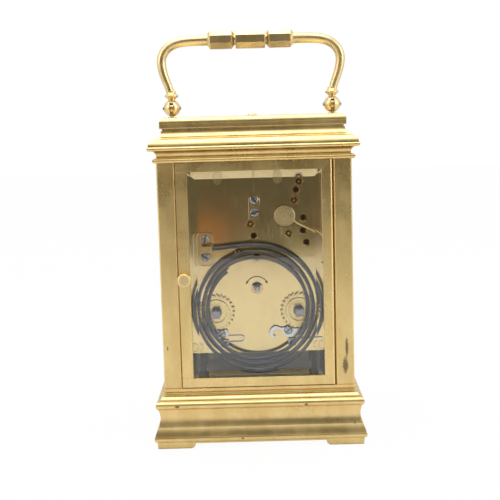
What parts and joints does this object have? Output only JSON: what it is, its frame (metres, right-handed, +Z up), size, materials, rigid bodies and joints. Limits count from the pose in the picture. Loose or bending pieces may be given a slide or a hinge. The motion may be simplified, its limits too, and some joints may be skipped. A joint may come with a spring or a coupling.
{
  "type": "carriage clock",
  "caption": "Brass carriage clock with bevelled glass panels, hinged rear door, folding carrying handle, key-wound striking movement and coil gong.",
  "frame": {"origin": "centre of the base on the table plane", "axes": "+Z up; the dial faces -Y, the glazed rear door with the winding squares faces +Y; +X is to the right as seen from the dial side"},
  "size_m": [0.0924, 0.0806, 0.1815],
  "materials": {
    "case_brass": "polished, light patina",
    "plate_brass": "satin grained",
    "movement_brass": "satin",
    "gilt": "matt gilt",
    "steel": "polished",
    "blued_steel": "blued",
    "enamel": "gloss white with black figures",
    "glass": "clear, bevelled"
  },
  "bodies": {
    "case": {"base_plinth": "case_brass", "corner_pillars": "case_brass", "case_screws": "steel", "cornice": "case_brass", "lid_plate": "case_brass", "side_glasses": "glass", "front_glass": "glass", "top_glass": "glass", "door_hinge_pins": "steel", "handle_posts": "case_brass", "handle_post_nuts": "steel", "back_plate": "plate_brass", "front_plate": "plate_brass", "plate_pillars": "movement_brass", "plate_screws": "steel", "seat_posts": "movement_brass", "gong_block": "movement_brass", "gong_coil": "blued_steel", "rear_screws": "steel", "spring_bracket": "movement_brass", "small_screws": "steel", "click_springs": "steel", "dial_mask": "gilt", "dial_plate": "enamel", "platform_plate": "movement_brass", "escapement_cock": "movement_brass", "balance_cock": "movement_brass"},
    "door": {"rear_door_frame": "case_brass", "rear_door_glass": "glass", "door_knob": "case_brass"},
    "handle": {"handle_bail": "case_brass", "handle_pivots": "steel"},
    "button": {"repeat_button": "case_brass"},
    "hands": {"centre_arbor": "steel", "cannon_pinion": "steel", "minute_hand": "blued_steel"},
    "hour": {"hour_wheel": "movement_brass", "hour_hand": "blued_steel"},
    "minute_work": {"minute_wheel": "movement_brass"},
    "third": {"third_wheel": "movement_brass"},
    "centre": {"centre_wheel": "movement_brass"},
    "contrate": {"contrate_wheel": "movement_brass"},
    "going_barrel": {"time_barrel": "movement_brass"},
    "escape": {"escape_wheel": "steel"},
    "lever": {"pallet_lever": "steel"},
    "balance": {"balance_wheel": "movement_brass", "hairspring": "blued_steel"},
    "index": {"regulator_index": "steel"},
    "time_winder": {"time_arbor": "steel", "time_ratchet": "movement_brass"},
    "time_pawl": {"time_click": "steel"},
    "strike_winder": {"strike_arbor": "steel", "strike_ratchet": "movement_brass"},
    "strike_pawl": {"strike_click": "steel"},
    "striking_barrel": {"strike_barrel": "movement_brass"},
    "strike_second": {"strike_second_wheel": "movement_brass"},
    "pin_wheel": {"strike_pin_wheel": "movement_brass"},
    "warning": {"warning_wheel": "movement_brass"},
    "fly": {"strike_fly": "movement_brass"},
    "hammer": {"hammer": "movement_brass"}
  },
  "joints": [
    {"name": "door_swing", "type": "hinge", "parent": "case", "child": "door", "pos_m": [-0.0319, 0.034, 0.075], "axis": [0, 0, 1], "range_deg": [0, 95]},
    {"name": "handle_fold", "type": "hinge", "parent": "case", "child": "handle", "pos_m": [0, 0, 0.1476], "axis": [1, 0, 0], "range_deg": [-85, 85]},
    {"name": "repeat_press", "type": "slide", "parent": "case", "child": "button", "axis": [0, 0, -1], "range_m": [0, 0.0012]},
    {"name": "minute_turn", "type": "hinge", "parent": "case", "child": "hands", "pos_m": [0, -0.025, 0.0676], "axis": [0, 1, 0], "continuous": true},
    {"name": "hour_turn", "type": "hinge", "parent": "case", "child": "hour", "pos_m": [0, -0.025, 0.0676], "axis": [0, 1, 0], "continuous": true},
    {"name": "minute_wheel_turn", "type": "hinge", "parent": "case", "child": "minute_work", "pos_m": [-0.00849, -0.022, 0.07609], "axis": [0, 1, 0], "continuous": true},
    {"name": "third_turn", "type": "hinge", "parent": "case", "child": "third", "pos_m": [0.0075, 0, 0.08396], "axis": [0, 1, 0], "continuous": true},
    {"name": "centre_turn", "type": "hinge", "parent": "case", "child": "centre", "pos_m": [0, 0.002, 0.0676], "axis": [0, 1, 0], "continuous": true},
    {"name": "contrate_turn", "type": "hinge", "parent": "case", "child": "contrate", "pos_m": [0.0021, -0.005, 0.0958], "axis": [0, 1, 0], "continuous": true},
    {"name": "time_barrel_turn", "type": "hinge", "parent": "case", "child": "going_barrel", "pos_m": [0.0182, 0.01, 0.0573], "axis": [0, 1, 0], "continuous": true},
    {"name": "escape_turn", "type": "hinge", "parent": "case", "child": "escape", "pos_m": [0.0021, -0.006, 0.115], "axis": [0, 0, 1], "continuous": true},
    {"name": "lever_rock", "type": "hinge", "parent": "case", "child": "lever", "pos_m": [0.0012, -0.0003, 0.1215], "axis": [0, 0, 1], "range_deg": [-4, 4]},
    {"name": "balance_swing", "type": "hinge", "parent": "case", "child": "balance", "pos_m": [0, 0.0065, 0.1246], "axis": [0, 0, 1], "range_deg": [-135, 135]},
    {"name": "index_turn", "type": "hinge", "parent": "case", "child": "index", "pos_m": [0, 0.0065, 0.1296], "axis": [0, 0, 1], "range_deg": [-18, 18]},
    {"name": "time_winding", "type": "hinge", "parent": "case", "child": "time_winder", "pos_m": [0.0182, 0.02, 0.0573], "axis": [0, 1, 0], "continuous": true},
    {"name": "time_click_lift", "type": "hinge", "parent": "case", "child": "time_pawl", "pos_m": [0.0162, 0.0234, 0.0474], "axis": [0, 1, 0], "range_deg": [0, 12]},
    {"name": "strike_winding", "type": "hinge", "parent": "case", "child": "strike_winder", "pos_m": [-0.0182, 0.02, 0.0573], "axis": [0, 1, 0], "continuous": true},
    {"name": "strike_click_lift", "type": "hinge", "parent": "case", "child": "strike_pawl", "pos_m": [-0.0134, 0.0234, 0.0485], "axis": [0, -1, 0], "range_deg": [0, 12]},
    {"name": "pin_wheel_turn", "type": "hinge", "parent": "case", "child": "pin_wheel", "pos_m": [-0.0145, 0, 0.09136], "axis": [0, 1, 0], "continuous": true},
    {"name": "strike_second_turn", "type": "hinge", "parent": "case", "child": "strike_second", "pos_m": [-0.0156, 0, 0.07594], "axis": [0, 1, 0], "continuous": true},
    {"name": "strike_barrel_turn", "type": "hinge", "parent": "case", "child": "striking_barrel", "pos_m": [-0.0182, 0.01, 0.0573], "axis": [0, 1, 0], "continuous": true},
    {"name": "warning_turn", "type": "hinge", "parent": "case", "child": "warning", "pos_m": [-0.0172, 0.005, 0.1058], "axis": [0, 1, 0], "continuous": true},
    {"name": "fly_turn", "type": "hinge", "parent": "case", "child": "fly", "pos_m": [-0.0195, 0, 0.114], "axis": [0, 1, 0], "continuous": true},
    {"name": "hammer_strike", "type": "hinge", "parent": "case", "child": "hammer", "pos_m": [-0.01285, 0.022, 0.0994], "axis": [0, 1, 0], "range_deg": [-11, 0]}
  ],
  "couplings": [
    {"joint": "hour_turn", "follows": "minute_turn", "ratio": 0.083333},
    {"joint": "minute_wheel_turn", "follows": "minute_turn", "ratio": -0.33333},
    {"joint": "centre_turn", "follows": "third_turn", "ratio": -0.125},
    {"joint": "contrate_turn", "follows": "third_turn", "ratio": -7.5},
    {"joint": "time_barrel_turn", "follows": "third_turn", "ratio": 0.041667},
    {"joint": "escape_turn", "follows": "third_turn", "ratio": -75},
    {"joint": "strike_second_turn", "follows": "pin_wheel_turn", "ratio": -0.14286},
    {"joint": "strike_barrel_turn", "follows": "pin_wheel_turn", "ratio": 0.028571},
    {"joint": "warning_turn", "follows": "pin_wheel_turn", "ratio": -8},
    {"joint": "fly_turn", "follows": "pin_wheel_turn", "ratio": 54.857}
  ]
}
